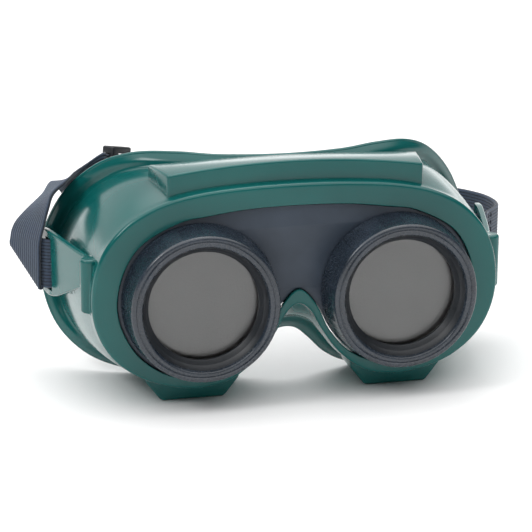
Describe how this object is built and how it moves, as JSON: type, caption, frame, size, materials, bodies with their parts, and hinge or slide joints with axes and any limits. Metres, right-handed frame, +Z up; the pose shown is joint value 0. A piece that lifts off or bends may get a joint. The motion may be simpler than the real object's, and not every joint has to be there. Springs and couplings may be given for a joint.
{
  "type": "welding goggles",
  "caption": "Cup-style welding goggles: soft wraparound mask, stiff lens plate, two screw-in rings over round lens stacks, vent covers and an elastic head strap with a slider.",
  "frame": {"origin": "centre of the object's box in plan, on the level of the flat bottoms of the two lower vent covers", "axes": "+X towards the wearer's left (the viewer's right from the front), +Y from the lenses towards the face, +Z up"},
  "size_m": [0.207, 0.1213, 0.0921],
  "materials": {
    "green_vinyl": "glossy soft moulded vinyl",
    "dark_nylon": "satin moulded nylon",
    "black_plastic": "matt moulded",
    "clear_glass": "polished",
    "filter_glass": "polished, dark green shade",
    "black_rubber": "matt",
    "grey_fibre": "pressed fibre",
    "elastic_webbing": "ribbed elastic webbing"
  },
  "bodies": {
    "root": {"mask_body": "green_vinyl", "top_vent_cover": "green_vinyl", "top_vent_baffle": "black_plastic", "lower_vent_cover_left": "green_vinyl", "lower_vent_baffle_left": "black_plastic", "lower_vent_cover_right": "green_vinyl", "lower_vent_baffle_right": "black_plastic", "lens_plate": "dark_nylon", "cover_lens_left": "clear_glass", "filter_lens_left": "filter_glass", "backing_lens_left": "clear_glass", "seat_gasket_left": "black_rubber", "cover_lens_right": "clear_glass", "filter_lens_right": "filter_glass", "backing_lens_right": "clear_glass", "seat_gasket_right": "black_rubber", "strap_band": "elastic_webbing"},
    "ring_washer_left": {"ring_washer_left": "grey_fibre"},
    "retaining_ring_left": {"retaining_ring_left": "dark_nylon"},
    "ring_washer_right": {"ring_washer_right": "grey_fibre"},
    "retaining_ring_right": {"retaining_ring_right": "dark_nylon"},
    "strap_slider": {"strap_slider": "black_plastic"}
  },
  "joints": [
    {"name": "ring_left_travel", "type": "slide", "parent": "root", "child": "ring_washer_left", "axis": [0, -1, 0], "range_m": [0, 0.007]},
    {"name": "ring_left_turn", "type": "hinge", "parent": "ring_washer_left", "child": "retaining_ring_left", "pos_m": [-0.0385, -0.05365, 0.041], "axis": [0, -1, 0], "range_deg": [0, 1440]},
    {"name": "ring_right_travel", "type": "slide", "parent": "root", "child": "ring_washer_right", "axis": [0, -1, 0], "range_m": [0, 0.007]},
    {"name": "ring_right_turn", "type": "hinge", "parent": "ring_washer_right", "child": "retaining_ring_right", "pos_m": [0.0385, -0.05365, 0.041], "axis": [0, -1, 0], "range_deg": [0, 1440]},
    {"name": "strap_slider_slide", "type": "slide", "parent": "root", "child": "strap_slider", "axis": [0.7207, 0.6606, -0.2102], "range_m": [0, 0.014]}
  ],
  "couplings": [
    {"joint": "ring_left_travel", "follows": "ring_left_turn", "m_per_rad": 0.00027852},
    {"joint": "ring_right_travel", "follows": "ring_right_turn", "m_per_rad": 0.00027852}
  ]
}
